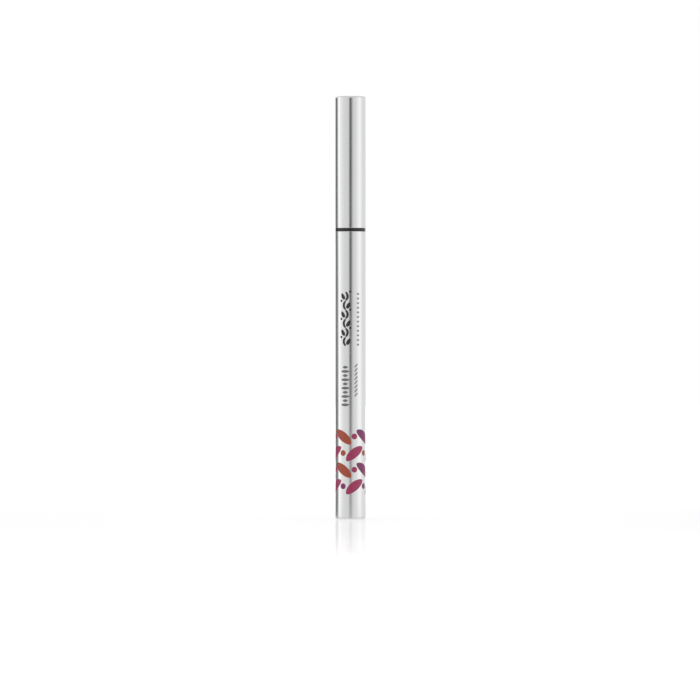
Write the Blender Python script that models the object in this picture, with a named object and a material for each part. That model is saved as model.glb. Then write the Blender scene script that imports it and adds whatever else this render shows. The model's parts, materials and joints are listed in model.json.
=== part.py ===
"""Slim liquid eyeliner pen, capped and standing on its tail, with every piece that it comes apart into.

Units are metres with +Z up. The origin is the middle of the tail face, which the pen stands on, and
every piece is centred on the Z axis. Heights stack up from the tail, and radii step in from the body.
"""

import math

import bmesh
import bpy
import numpy as np

# Body, sleeves and the gaps between pieces
BODY_DIAMETER = 0.0098
SLEEVE_WALL = 0.0004
SLEEVE_EDGE = 0.00006
SEAM_GAP = 0.0001
FIT_GAP = 0.0001
RUNNING_GAP = 0.00015

# Tail plug
TAIL_FLANGE_HEIGHT = 0.0006
TAIL_EDGE_RADIUS = 0.00035
TAIL_SPIGOT_LENGTH = 0.0074
TAIL_WALL = 0.0010
TAIL_FLOOR = 0.0012
TAIL_LEAD_IN = 0.0003

# Tank, its rear plug and its front seal
TANK_LENGTH = 0.0610
TANK_WALL = 0.0005
TANK_AIR_GAP = 0.0003
STOPPER_FLANGE_HEIGHT = 0.0008
STOPPER_LEAD_IN = 0.0003
END_PLUG_DEPTH = 0.0039
END_PLUG_WALL = 0.0010
END_PLUG_ROOF = 0.0008
SEAL_DEPTH = 0.0078
SEAL_FUNNEL_WALL = 0.0008
SEAL_FUNNEL_DEPTH = 0.0022

# Agitator ball
BALL_DIAMETER = 0.0035

# Feed: porous core, its pipe and the collector
CORE_DIAMETER = 0.0010
CORE_PROUD = 0.0005
PIPE_WALL = 0.00025
PIPE_PROUD = 0.0005
COLLECTOR_FINS = 17
COLLECTOR_HUB_WALL = 0.00065
FIN_THICKNESS = 0.0005

# Neck collar, with the black ring that shows
COLLAR_DEPTH = 0.0230
COLLAR_WALL = 0.00065
RING_HEIGHT = 0.0009
RING_EDGE = 0.00006
WEB_BELOW_RING = 0.0008
WEB_ABOVE_RING = 0.0006
NECK_LENGTH = 0.0066
NECK_LEAD_IN = 0.0003
SNAP_PROUD = 0.0001
SNAP_HEIGHT = 0.0008
SNAP_BELOW_TOP = 0.0028

# O-ring on the neck
O_RING_THICKNESS = 0.0007
O_RING_PROUD = 0.0001
O_RING_ABOVE_RING = 0.0020

# Nose cone
NOSE_SPIGOT_WALL = 0.0006
NOSE_FLANGE_HEIGHT = 0.0006
NOSE_LENGTH = 0.0118
NOSE_TIP_WALL = 0.00025
NOSE_TIP_EDGE = 0.00015

# Brush and its ferrule
FERRULE_LENGTH = 0.0095
FERRULE_WALL = 0.0002
FERRULE_PROUD = 0.0015
FERRULE_EDGE = 0.00008
BRUSH_ROOT_DIAMETER = 0.0013
BRUSH_ROOT_LENGTH = 0.0035
BRUSH_LENGTH = 0.0085
BRUSH_TAPER_POWER = 1.8
BRUSH_RINGS = 10

# Inner cap
INNER_CAP_WALL = 0.0005
INNER_CAP_END = 0.0008
INNER_CAP_FLANGE_HEIGHT = 0.0008
LIP_LENGTH = 0.0016
LIP_SEAT_GAP = 0.0002
LIP_EDGE = 0.00015
BRUSH_HEADROOM = 0.0030
BOSS_HEIGHT = 0.0010

# Spring behind the inner cap
SPRING_LENGTH = 0.0085
SPRING_WIRE = 0.00045
SPRING_TURNS = 6
SPRING_POINTS_PER_TURN = 10
SPRING_INSET = 0.0003
SPRING_BOSS_GAP = 0.0002

# Cap liner and cap shell
LINER_WALL = 0.0006
LINER_END = 0.0008
LINER_RECESS = 0.0003
LINER_GROOVE_GAP = 0.0001
LEDGE_DEPTH = 0.0005
LEDGE_HEIGHT = 0.0007
CAP_END_THICKNESS = 0.0006
CAP_EDGE_RADIUS = 0.0006

# Sides of the turned bodies, and steps of their small arcs
SLEEVE_SIDES = 48
INNER_SIDES = 32
COLLECTOR_SIDES = 24
FEED_SIDES = 16
EDGE_STEPS = 4
O_RING_STEPS = 8
BALL_RINGS = 10
SHARP_ANGLE = math.radians(32)
SAME_POINT = 0.000001

# Radii, from the body inwards
BODY_RADIUS = BODY_DIAMETER / 2
SLEEVE_BORE = BODY_RADIUS - SLEEVE_WALL
SPIGOT_RADIUS = SLEEVE_BORE - FIT_GAP
TANK_RADIUS = SLEEVE_BORE - TANK_AIR_GAP
TANK_BORE = TANK_RADIUS - TANK_WALL
STOPPER_RADIUS = TANK_BORE - FIT_GAP
COLLAR_BORE = SPIGOT_RADIUS - COLLAR_WALL
COLLECTOR_RADIUS = COLLAR_BORE - RUNNING_GAP
LINER_BORE = SPIGOT_RADIUS - LINER_WALL
NECK_RADIUS = LINER_BORE - RUNNING_GAP
LEDGE_BORE = LINER_BORE - LEDGE_DEPTH
INNER_CAP_RADIUS = LEDGE_BORE - RUNNING_GAP
INNER_CAP_BORE = INNER_CAP_RADIUS - INNER_CAP_WALL
NOSE_BASE_RADIUS = INNER_CAP_BORE - RUNNING_GAP
SPRING_RADIUS = INNER_CAP_RADIUS - SPRING_INSET - SPRING_WIRE / 2
BOSS_RADIUS = SPRING_RADIUS - SPRING_WIRE / 2 - SPRING_BOSS_GAP

# Radii, from the porous core outwards
CORE_RADIUS = CORE_DIAMETER / 2
PIPE_BORE = CORE_RADIUS + FIT_GAP
PIPE_RADIUS = PIPE_BORE + PIPE_WALL
PIPE_HOLE = PIPE_RADIUS + FIT_GAP
BRUSH_RADIUS = BRUSH_ROOT_DIAMETER / 2
FERRULE_BORE = BRUSH_RADIUS + FIT_GAP
FERRULE_RADIUS = FERRULE_BORE + FERRULE_WALL
NOSE_BORE = max(FERRULE_RADIUS, PIPE_RADIUS) + FIT_GAP
NOSE_TIP_RADIUS = NOSE_BORE + NOSE_TIP_WALL
NOSE_SPIGOT_RADIUS = NOSE_BORE + NOSE_SPIGOT_WALL
NECK_BORE = NOSE_SPIGOT_RADIUS + FIT_GAP

# Heights of the barrel end, from the tail face up
BARREL_BASE = TAIL_FLANGE_HEIGHT + SEAM_GAP
TAIL_SPIGOT_TOP = TAIL_FLANGE_HEIGHT + TAIL_SPIGOT_LENGTH
END_PLUG_BASE = TAIL_SPIGOT_TOP + SEAM_GAP
TANK_BASE = END_PLUG_BASE + STOPPER_FLANGE_HEIGHT + SEAM_GAP
TANK_TOP = TANK_BASE + TANK_LENGTH
SEAL_FLANGE_BASE = TANK_TOP + SEAM_GAP
SEAL_BASE = SEAL_FLANGE_BASE - SEAL_DEPTH
COLLAR_BASE = SEAL_FLANGE_BASE + STOPPER_FLANGE_HEIGHT + SEAM_GAP
RING_BASE = COLLAR_BASE + COLLAR_DEPTH
RING_TOP = RING_BASE + RING_HEIGHT
BARREL_TOP = RING_BASE - SEAM_GAP
END_PLUG_TOP = END_PLUG_BASE + STOPPER_FLANGE_HEIGHT + END_PLUG_DEPTH
BALL_CENTRE = END_PLUG_TOP + SEAM_GAP + BALL_DIAMETER / 2

# Heights of the neck, nose and brush
WEB_BASE = RING_BASE - WEB_BELOW_RING
WEB_TOP = RING_TOP + WEB_ABOVE_RING
NECK_TOP = RING_TOP + NECK_LENGTH
NOSE_FLANGE_BASE = NECK_TOP + SEAM_GAP
NOSE_SEAT = NOSE_FLANGE_BASE + NOSE_FLANGE_HEIGHT
NOSE_TOP = NOSE_SEAT + NOSE_LENGTH
FERRULE_TOP = NOSE_TOP + FERRULE_PROUD
FERRULE_BASE = FERRULE_TOP - FERRULE_LENGTH
BRUSH_BASE = FERRULE_TOP - BRUSH_ROOT_LENGTH
BRUSH_TOP = FERRULE_TOP + BRUSH_LENGTH
PIPE_BASE = SEAL_BASE - PIPE_PROUD
PIPE_TOP = FERRULE_BASE - SEAM_GAP
CORE_BASE = PIPE_BASE - CORE_PROUD
CORE_TOP = BRUSH_BASE - SEAM_GAP

# Heights of the cap and what it carries
CAP_BASE = RING_TOP + SEAM_GAP
INNER_CAP_BASE = NOSE_SEAT + LIP_SEAT_GAP
INNER_CAP_FLANGE_BASE = INNER_CAP_BASE + LIP_LENGTH
INNER_CAP_CEILING = BRUSH_TOP + BRUSH_HEADROOM
INNER_CAP_TOP = INNER_CAP_CEILING + INNER_CAP_END
SPRING_BASE = INNER_CAP_TOP + SEAM_GAP
LINER_BASE = CAP_BASE + LINER_RECESS
LINER_CEILING = SPRING_BASE + SPRING_LENGTH + SEAM_GAP
LINER_TOP = LINER_CEILING + LINER_END
CAP_CEILING = LINER_TOP + SEAM_GAP
CAP_TOP = CAP_CEILING + CAP_END_THICKNESS
LEDGE_TOP = INNER_CAP_FLANGE_BASE - SEAM_GAP
LEDGE_BASE = LEDGE_TOP - LEDGE_HEIGHT
SNAP_CENTRE = NECK_TOP - SNAP_BELOW_TOP


def clear_scene():
    """Remove every object, so that the pen stands alone."""
    for obj in list(bpy.data.objects):
        bpy.data.objects.remove(obj, do_unlink=True)


def finish(name, colour, roughness, metallic=0.0):
    """A material of one colour, in linear values, with its roughness and metallic value."""
    material = bpy.data.materials.new(name)
    material.use_nodes = True
    shader = material.node_tree.nodes["Principled BSDF"]
    shader.inputs["Base Color"].default_value = (*colour, 1.0)
    shader.inputs["Roughness"].default_value = roughness
    shader.inputs["Metallic"].default_value = metallic
    return material


def silver_aluminium():
    """Satin silver anodised aluminium of the two sleeves and the tail."""
    return finish("silver_aluminium", (0.72, 0.72, 0.73), 0.28, 1.0)


def black_plastic():
    """Glossy black plastic of the ring, the neck and the nose."""
    return finish("black_plastic", (0.018, 0.018, 0.019), 0.32)


def natural_plastic():
    """Milky uncoloured polypropylene of the moulded inner pieces."""
    return finish("natural_plastic", (0.72, 0.74, 0.74), 0.45)


def bright_steel():
    """Bright steel of the ball, the spring and the ferrule."""
    return finish("bright_steel", (0.60, 0.60, 0.61), 0.18, 1.0)


def seal_rubber():
    """Matte black nitrile rubber of the O-ring."""
    return finish("seal_rubber", (0.020, 0.020, 0.020), 0.75)


def core_fibre():
    """Bonded fibre of the porous core, stained by the liquid."""
    return finish("core_fibre", (0.055, 0.050, 0.052), 0.85)


def brush_fibre():
    """Black nylon fibre of the brush."""
    return finish("brush_fibre", (0.012, 0.011, 0.011), 0.55)


def frame_empty(name, height, parent=None):
    """An empty on the pen's axis that carries the pieces of one body."""
    empty = bpy.data.objects.new(name, None)
    bpy.context.scene.collection.objects.link(empty)
    empty.empty_display_size = BODY_DIAMETER
    empty.parent = parent
    empty.location.z = height - (parent.matrix_world.translation.z if parent else 0)
    bpy.context.view_layer.update()
    return empty


def place(name, data, material, carrier, base):
    """Link a piece whose own base is at zero, hang it on its carrier and lift it to its height."""
    obj = bpy.data.objects.new(name, data)
    data.materials.append(material)
    bpy.context.scene.collection.objects.link(obj)
    obj.parent = carrier
    obj.location.z = base - carrier.matrix_world.translation.z
    return obj


def turned(name, outline, sides, material, carrier, base):
    """Spin a closed outline of (radius, height) points once round Z, heights measured from its base.

    Points on the axis are joined to one, so a solid end closes there.
    """
    turning = bmesh.new()
    points = [turning.verts.new((radius, 0, height - base)) for radius, height in outline]
    for start, end in zip(points, points[1:] + points[:1]):
        if start.co.x > 0 or end.co.x > 0:
            turning.edges.new((start, end))
    bmesh.ops.spin(
        turning,
        geom=turning.verts[:] + turning.edges[:],
        cent=(0, 0, 0),
        axis=(0, 0, 1),
        angle=math.tau,
        steps=sides,
        use_merge=True,
    )
    bmesh.ops.remove_doubles(turning, verts=turning.verts[:], dist=SAME_POINT)
    bmesh.ops.recalc_face_normals(turning, faces=turning.faces[:])
    mesh = bpy.data.meshes.new(name)
    turning.to_mesh(mesh)
    turning.free()
    mesh.shade_smooth()
    mesh.set_sharp_from_angle(angle=SHARP_ANGLE)
    return place(name, mesh, material, carrier, base)


def arc(centre_radius, centre_height, radius, start, end, steps):
    """Points of an arc in the outline plane, from one angle to another in degrees, ends included."""
    angles = np.radians(np.linspace(start, end, steps + 1))
    return [
        (centre_radius + radius * float(np.cos(a)), centre_height + radius * float(np.sin(a)))
        for a in angles
    ]


def make_tail_plug(carrier, material):
    """Silver end: a flange as wide as the body and a hollow spigot that is pressed into the sleeve."""
    bore = SPIGOT_RADIUS - TAIL_WALL
    edge = arc(BODY_RADIUS - TAIL_EDGE_RADIUS, TAIL_EDGE_RADIUS, TAIL_EDGE_RADIUS, -90, 0, EDGE_STEPS)
    outline = [
        (0, 0),
        *edge,
        (BODY_RADIUS, TAIL_FLANGE_HEIGHT),
        (SPIGOT_RADIUS, TAIL_FLANGE_HEIGHT),
        (SPIGOT_RADIUS, TAIL_SPIGOT_TOP - TAIL_LEAD_IN),
        (SPIGOT_RADIUS - TAIL_LEAD_IN, TAIL_SPIGOT_TOP),
        (bore, TAIL_SPIGOT_TOP),
        (bore, TAIL_FLOOR),
        (0, TAIL_FLOOR),
    ]
    return turned("tail_plug", outline, SLEEVE_SIDES, material, carrier, 0)


def make_barrel_shell(carrier, material):
    """Silver sleeve of the barrel: a plain tube with its outer edges just broken."""
    outline = [
        (SLEEVE_BORE, BARREL_BASE),
        (BODY_RADIUS - SLEEVE_EDGE, BARREL_BASE),
        (BODY_RADIUS, BARREL_BASE + SLEEVE_EDGE),
        (BODY_RADIUS, BARREL_TOP - SLEEVE_EDGE),
        (BODY_RADIUS - SLEEVE_EDGE, BARREL_TOP),
        (SLEEVE_BORE, BARREL_TOP),
    ]
    return turned("barrel_shell", outline, SLEEVE_SIDES, material, carrier, BARREL_BASE)


def make_tank_end_plug(carrier, material):
    """Rear stopper of the tank: a flange and a plug hollowed from behind to an even wall."""
    flange_top = END_PLUG_BASE + STOPPER_FLANGE_HEIGHT
    hollow = STOPPER_RADIUS - END_PLUG_WALL
    outline = [
        (hollow, END_PLUG_BASE),
        (TANK_RADIUS, END_PLUG_BASE),
        (TANK_RADIUS, flange_top),
        (STOPPER_RADIUS, flange_top),
        (STOPPER_RADIUS, END_PLUG_TOP - STOPPER_LEAD_IN),
        (STOPPER_RADIUS - STOPPER_LEAD_IN, END_PLUG_TOP),
        (0, END_PLUG_TOP),
        (0, END_PLUG_TOP - END_PLUG_ROOF),
        (hollow, END_PLUG_TOP - END_PLUG_ROOF),
    ]
    return turned("tank_end_plug", outline, INNER_SIDES, material, carrier, END_PLUG_BASE)


def make_ink_tank(carrier, material):
    """Tank: a plain tube inside the barrel sleeve, open at both ends for its stoppers."""
    outline = [
        (TANK_BORE, TANK_BASE),
        (TANK_RADIUS, TANK_BASE),
        (TANK_RADIUS, TANK_TOP),
        (TANK_BORE, TANK_TOP),
    ]
    return turned("ink_tank", outline, INNER_SIDES, material, carrier, TANK_BASE)


def make_agitator_ball(carrier, material):
    """Steel ball that lies on the rear stopper, its origin at its middle."""
    half_turn = arc(0, BALL_CENTRE, BALL_DIAMETER / 2, -90, 90, BALL_RINGS)
    outline = [(max(radius, 0), height) for radius, height in half_turn]
    outline[0] = (0, BALL_CENTRE - BALL_DIAMETER / 2)
    outline[-1] = (0, BALL_CENTRE + BALL_DIAMETER / 2)
    return turned("agitator_ball", outline, FEED_SIDES, material, carrier, BALL_CENTRE)


def make_tank_seal(carrier, material):
    """Front stopper of the tank, with the feed hole and a funnel that leads the liquid to it."""
    flange_top = SEAL_FLANGE_BASE + STOPPER_FLANGE_HEIGHT
    outline = [
        (PIPE_HOLE, SEAL_BASE + SEAL_FUNNEL_DEPTH),
        (STOPPER_RADIUS - STOPPER_LEAD_IN - SEAL_FUNNEL_WALL, SEAL_BASE),
        (STOPPER_RADIUS - STOPPER_LEAD_IN, SEAL_BASE),
        (STOPPER_RADIUS, SEAL_BASE + STOPPER_LEAD_IN),
        (STOPPER_RADIUS, SEAL_FLANGE_BASE),
        (TANK_RADIUS, SEAL_FLANGE_BASE),
        (TANK_RADIUS, flange_top),
        (PIPE_HOLE, flange_top),
    ]
    return turned("tank_seal", outline, INNER_SIDES, material, carrier, SEAL_BASE)


def make_core_pipe(carrier, material):
    """Thin pipe that holds the porous core from the tank up to the brush."""
    outline = [
        (PIPE_BORE, PIPE_BASE),
        (PIPE_RADIUS, PIPE_BASE),
        (PIPE_RADIUS, PIPE_TOP),
        (PIPE_BORE, PIPE_TOP),
    ]
    return turned("core_pipe", outline, FEED_SIDES, material, carrier, PIPE_BASE)


def make_relay_core(carrier, material):
    """Porous fibre rod that carries the liquid from the tank to the brush root."""
    outline = [(0, CORE_BASE), (CORE_RADIUS, CORE_BASE), (CORE_RADIUS, CORE_TOP), (0, CORE_TOP)]
    return turned("relay_core", outline, FEED_SIDES, material, carrier, CORE_BASE)


def make_collector(carrier, material):
    """Collector: a hub round the pipe with evenly spaced fins, the first and last flush with its ends."""
    top = WEB_BASE - SEAM_GAP
    hub = PIPE_HOLE + COLLECTOR_HUB_WALL
    pitch = (top - COLLAR_BASE - FIN_THICKNESS) / (COLLECTOR_FINS - 1)
    outline = [(PIPE_HOLE, COLLAR_BASE)]
    for fin in range(COLLECTOR_FINS):
        low = COLLAR_BASE + fin * pitch
        high = low + FIN_THICKNESS
        if fin > 0:
            outline.append((hub, low))
        outline += [(COLLECTOR_RADIUS, low), (COLLECTOR_RADIUS, high)]
        if fin < COLLECTOR_FINS - 1:
            outline.append((hub, high))
    outline.append((PIPE_HOLE, top))
    return turned("collector", outline, COLLECTOR_SIDES, material, carrier, COLLAR_BASE)


def make_neck_collar(carrier, material):
    """Neck collar: a long spigot round the collector, the ring that shows, and the neck of the cap.

    The neck has a groove for the O-ring and a low bead that the cap snaps over.
    """
    groove_middle = RING_TOP + O_RING_ABOVE_RING
    groove_half = O_RING_THICKNESS / 2 + FIT_GAP
    groove_floor = NECK_RADIUS + O_RING_PROUD - O_RING_THICKNESS - FIT_GAP
    bead_half = SNAP_HEIGHT / 2
    outline = [
        (COLLAR_BORE, COLLAR_BASE),
        (SPIGOT_RADIUS, COLLAR_BASE),
        (SPIGOT_RADIUS, RING_BASE),
        (BODY_RADIUS - RING_EDGE, RING_BASE),
        (BODY_RADIUS, RING_BASE + RING_EDGE),
        (BODY_RADIUS, RING_TOP - RING_EDGE),
        (BODY_RADIUS - RING_EDGE, RING_TOP),
        (NECK_RADIUS, RING_TOP),
        (NECK_RADIUS, groove_middle - groove_half),
        (groove_floor, groove_middle - groove_half),
        (groove_floor, groove_middle + groove_half),
        (NECK_RADIUS, groove_middle + groove_half),
        (NECK_RADIUS, SNAP_CENTRE - bead_half),
        (NECK_RADIUS + SNAP_PROUD, SNAP_CENTRE),
        (NECK_RADIUS, SNAP_CENTRE + bead_half),
        (NECK_RADIUS, NECK_TOP - NECK_LEAD_IN),
        (NECK_RADIUS - NECK_LEAD_IN, NECK_TOP),
        (NECK_BORE, NECK_TOP),
        (NECK_BORE, WEB_TOP),
        (PIPE_HOLE, WEB_TOP),
        (PIPE_HOLE, WEB_BASE),
        (COLLAR_BORE, WEB_BASE),
    ]
    return turned("neck_collar", outline, SLEEVE_SIDES, material, carrier, COLLAR_BASE)


def make_neck_o_ring(carrier, material):
    """O-ring in the groove of the neck, standing just proud of it."""
    thickness = O_RING_THICKNESS / 2
    middle = RING_TOP + O_RING_ABOVE_RING
    centre = NECK_RADIUS + O_RING_PROUD - thickness
    outline = arc(centre, middle, thickness, 0, 360, O_RING_STEPS)[:-1]
    return turned("neck_o_ring", outline, INNER_SIDES, material, carrier, middle)


def make_nose_cone(carrier, material):
    """Nose cone: a spigot in the neck, the flange that the inner cap seals on, and the taper."""
    spigot_base = WEB_TOP + SEAM_GAP
    flange = NECK_RADIUS - NECK_LEAD_IN
    outline = [
        (NOSE_BORE, spigot_base),
        (NOSE_SPIGOT_RADIUS, spigot_base),
        (NOSE_SPIGOT_RADIUS, NOSE_FLANGE_BASE),
        (flange, NOSE_FLANGE_BASE),
        (flange, NOSE_SEAT),
        (NOSE_BASE_RADIUS, NOSE_SEAT),
        (NOSE_TIP_RADIUS, NOSE_TOP - NOSE_TIP_EDGE),
        (NOSE_TIP_RADIUS - NOSE_TIP_EDGE, NOSE_TOP),
        (NOSE_BORE, NOSE_TOP),
    ]
    return turned("nose_cone", outline, INNER_SIDES, material, carrier, spigot_base)


def make_brush_ferrule(carrier, material):
    """Ferrule: a thin metal tube round the brush root, standing a little out of the nose."""
    outline = [
        (FERRULE_BORE, FERRULE_BASE),
        (FERRULE_RADIUS, FERRULE_BASE),
        (FERRULE_RADIUS, FERRULE_TOP - FERRULE_EDGE),
        (FERRULE_RADIUS - FERRULE_EDGE, FERRULE_TOP),
        (FERRULE_BORE, FERRULE_TOP),
    ]
    return turned("brush_ferrule", outline, FEED_SIDES, material, carrier, FERRULE_BASE)


def make_brush_tip(carrier, material):
    """Brush: a straight root in the ferrule, then one minus a power of the height, down to a point."""
    shares = np.linspace(0, 1, BRUSH_RINGS + 1)
    outline = [(0, BRUSH_BASE), (BRUSH_RADIUS, BRUSH_BASE)]
    for share in shares[:-1]:
        radius = BRUSH_RADIUS * (1 - float(share) ** BRUSH_TAPER_POWER)
        outline.append((radius, FERRULE_TOP + float(share) * BRUSH_LENGTH))
    outline.append((0, BRUSH_TOP))
    return turned("brush_tip", outline, FEED_SIDES, material, carrier, BRUSH_BASE)


def make_inner_cap(carrier, material):
    """Inner cap: a cup whose lip seals on the nose, with a guide flange and a boss for the spring."""
    flange_top = INNER_CAP_FLANGE_BASE + INNER_CAP_FLANGE_HEIGHT
    flange = LINER_BORE - RUNNING_GAP
    outline = [
        (INNER_CAP_BORE, INNER_CAP_BASE),
        (INNER_CAP_RADIUS - LIP_EDGE, INNER_CAP_BASE),
        (INNER_CAP_RADIUS, INNER_CAP_BASE + LIP_EDGE),
        (INNER_CAP_RADIUS, INNER_CAP_FLANGE_BASE),
        (flange, INNER_CAP_FLANGE_BASE),
        (flange, flange_top),
        (INNER_CAP_RADIUS, flange_top),
        (INNER_CAP_RADIUS, INNER_CAP_TOP),
        (BOSS_RADIUS, INNER_CAP_TOP),
        (BOSS_RADIUS, INNER_CAP_TOP + BOSS_HEIGHT),
        (0, INNER_CAP_TOP + BOSS_HEIGHT),
        (0, INNER_CAP_CEILING),
        (INNER_CAP_BORE, INNER_CAP_CEILING),
    ]
    return turned("inner_cap", outline, INNER_SIDES, material, carrier, INNER_CAP_BASE)


def spring_path():
    """Points of the spring: a helix of whole turns, with a straight end one wire long at each seat."""
    steps = SPRING_TURNS * SPRING_POINTS_PER_TURN
    share = np.linspace(0, 1, steps + 1)
    angle = share * SPRING_TURNS * math.tau
    height = SPRING_WIRE + share * (SPRING_LENGTH - 2 * SPRING_WIRE)
    helix = np.column_stack([SPRING_RADIUS * np.cos(angle), SPRING_RADIUS * np.sin(angle), height])
    foot = (SPRING_RADIUS, 0, 0)
    head = (SPRING_RADIUS, 0, SPRING_LENGTH)
    return np.vstack([foot, helix, head])


def least_spring_gap(points):
    """Least distance between wire surfaces of points that lie at least half a turn apart."""
    apart = SPRING_POINTS_PER_TURN // 2
    gaps = [
        np.linalg.norm(points[index + apart :] - point, axis=1).min()
        for index, point in enumerate(points[:-apart])
    ]
    return float(min(gaps)) - SPRING_WIRE


def make_inner_cap_spring(carrier, material):
    """Spring between the inner cap and the end of the liner, one unbroken wire."""
    points = spring_path()
    print(f"least gap of the spring to itself: {1000 * least_spring_gap(points):.2f} mm")
    curve = bpy.data.curves.new("inner_cap_spring", "CURVE")
    curve.dimensions = "3D"
    curve.bevel_depth = SPRING_WIRE / 2
    curve.bevel_resolution = 1
    curve.use_fill_caps = True
    spline = curve.splines.new("POLY")
    spline.points.add(len(points) - 1)
    spline.points.foreach_set("co", np.column_stack([points, np.ones(len(points))]).ravel())
    return place("inner_cap_spring", curve, material, carrier, SPRING_BASE)


def make_cap_liner(carrier, material):
    """Plastic body of the cap: a bore for the neck, a snap groove, the ledge and a boss for the spring."""
    groove_half = SNAP_HEIGHT / 2 + LINER_GROOVE_GAP
    groove = LINER_BORE + SNAP_PROUD
    outline = [
        (LINER_BORE, LINER_BASE),
        (SPIGOT_RADIUS, LINER_BASE),
        (SPIGOT_RADIUS, LINER_TOP),
        (0, LINER_TOP),
        (0, LINER_CEILING - BOSS_HEIGHT),
        (BOSS_RADIUS, LINER_CEILING - BOSS_HEIGHT),
        (BOSS_RADIUS, LINER_CEILING),
        (LINER_BORE, LINER_CEILING),
        (LINER_BORE, LEDGE_TOP),
        (LEDGE_BORE, LEDGE_TOP),
        (LEDGE_BORE, LEDGE_BASE),
        (LINER_BORE, LEDGE_BASE),
        (LINER_BORE, SNAP_CENTRE + groove_half),
        (groove, SNAP_CENTRE),
        (LINER_BORE, SNAP_CENTRE - groove_half),
    ]
    return turned("cap_liner", outline, INNER_SIDES, material, carrier, LINER_BASE)


def make_cap_shell(carrier, material):
    """Silver sleeve of the cap, drawn from one piece, with a closed end and a small rounded edge."""
    edge = arc(BODY_RADIUS - CAP_EDGE_RADIUS, CAP_TOP - CAP_EDGE_RADIUS, CAP_EDGE_RADIUS, 0, 90, EDGE_STEPS)
    outline = [
        (SLEEVE_BORE, CAP_BASE),
        (BODY_RADIUS - SLEEVE_EDGE, CAP_BASE),
        (BODY_RADIUS, CAP_BASE + SLEEVE_EDGE),
        *edge,
        (0, CAP_TOP),
        (0, CAP_CEILING),
        (SLEEVE_BORE, CAP_CEILING),
    ]
    return turned("cap_shell", outline, SLEEVE_SIDES, material, carrier, CAP_BASE)


def build_pen():
    """Make the frames of the four bodies and hang every piece on its own."""
    clear_scene()
    silver = silver_aluminium()
    black = black_plastic()
    natural = natural_plastic()
    steel = bright_steel()

    pen = frame_empty("pen_frame", 0)
    ball = frame_empty("ball_frame", BALL_CENTRE, pen)
    cap = frame_empty("cap_frame", CAP_BASE, pen)
    sealing_cup = frame_empty("inner_cap_frame", INNER_CAP_BASE, cap)

    make_tail_plug(pen, silver)
    make_barrel_shell(pen, silver)
    make_tank_end_plug(pen, natural)
    make_ink_tank(pen, natural)
    make_agitator_ball(ball, steel)
    make_tank_seal(pen, natural)
    make_core_pipe(pen, natural)
    make_relay_core(pen, core_fibre())
    make_collector(pen, natural)
    make_neck_collar(pen, black)
    make_neck_o_ring(pen, seal_rubber())
    make_nose_cone(pen, black)
    make_brush_ferrule(pen, steel)
    make_brush_tip(pen, brush_fibre())
    make_inner_cap(sealing_cup, natural)
    make_inner_cap_spring(cap, steel)
    make_cap_liner(cap, natural)
    make_cap_shell(cap, silver)


build_pen()
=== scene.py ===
"""Looks of the capped eyeliner pen: its silver sleeves, prints, black neck, brush and studio, in metres.

The pen stands on Z = 0 with its axis on Z, and the camera looks along +Y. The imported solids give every
place. A place on the barrel's surface is an arc length, zero at the front and growing to the right, and
a height.
"""
import json
import math

import bpy
import numpy as np
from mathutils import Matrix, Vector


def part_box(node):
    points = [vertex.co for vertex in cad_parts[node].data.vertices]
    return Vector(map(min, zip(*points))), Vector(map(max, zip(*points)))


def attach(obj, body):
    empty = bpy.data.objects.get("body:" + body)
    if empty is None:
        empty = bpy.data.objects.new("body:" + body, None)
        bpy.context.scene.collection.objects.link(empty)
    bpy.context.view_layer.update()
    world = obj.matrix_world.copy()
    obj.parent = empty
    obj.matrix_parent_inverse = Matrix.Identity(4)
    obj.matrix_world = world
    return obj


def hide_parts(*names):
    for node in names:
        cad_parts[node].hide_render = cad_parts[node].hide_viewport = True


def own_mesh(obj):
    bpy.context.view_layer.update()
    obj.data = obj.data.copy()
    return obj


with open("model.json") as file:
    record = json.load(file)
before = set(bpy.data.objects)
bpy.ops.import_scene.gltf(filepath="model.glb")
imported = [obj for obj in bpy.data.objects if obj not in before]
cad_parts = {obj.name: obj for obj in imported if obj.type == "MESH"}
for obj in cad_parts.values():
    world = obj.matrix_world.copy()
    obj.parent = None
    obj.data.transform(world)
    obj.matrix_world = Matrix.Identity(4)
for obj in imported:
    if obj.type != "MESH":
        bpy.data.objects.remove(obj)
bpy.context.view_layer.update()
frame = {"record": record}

# Camera: level, a little below the pen's mid height and far away, so the pen's sides stay upright. Its
# lens makes the picture as wide at the pen as the photograph's is there.
view_distance = 2.0
view_height = 0.05525
view_side = -0.00016
width_in_view = 0.2284
camera_data = bpy.data.cameras.new("camera")
camera_data.lens = camera_data.sensor_width * view_distance / width_in_view
camera = bpy.data.objects.new("camera", camera_data)
camera.location = (view_side, -view_distance, view_height)
camera.rotation_euler = (math.radians(90), 0, 0)
bpy.context.scene.collection.objects.link(camera)
bpy.context.scene.camera = camera
bpy.context.scene.view_settings.view_transform = "Standard"

# Light tent: white cloth in a ring round the pen, lit through it by two boxes on the left and a wider one
# on the right. The gap for the camera and a black flag behind on the left draw the dark lines. Below
# the height that the black ring mirrors, the left side is turned inward and its flag lets more by.
tent_radius = 0.9
tent_height = 1.1
low_light_end = 0.107
high_light_start = 0.112
flag_height = 0.3
flag_gone = 0.31
tent_eye = 0.001
tent_columns = 360
cloth_glow = 0.738
ceiling_glow = 0.7
plain_lift = 0.2
left_box, left_box_spread, left_box_glow = -101, 17, 0.46
near_box, near_box_spread, near_box_glow = -70, 20, 0.12
right_box, right_box_spread, right_box_glow = 75, 25, 0.33
lit_wall, lit_wall_glow = (175, 37, 9), 0.30
dim_strip, dim_strip_loss = (158, 8, 2), 0.5
flag, flag_half_width, flag_soft = -144, 28, 2
camera_hole, camera_hole_loss = (-0.1, 8.8, 1.5), 0.97
camera_side, camera_side_loss = (9, 8, 3), 0.36
low_inward, low_hidden = 9, 0.73
high_inward, high_hidden = 0, 0.81


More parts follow.
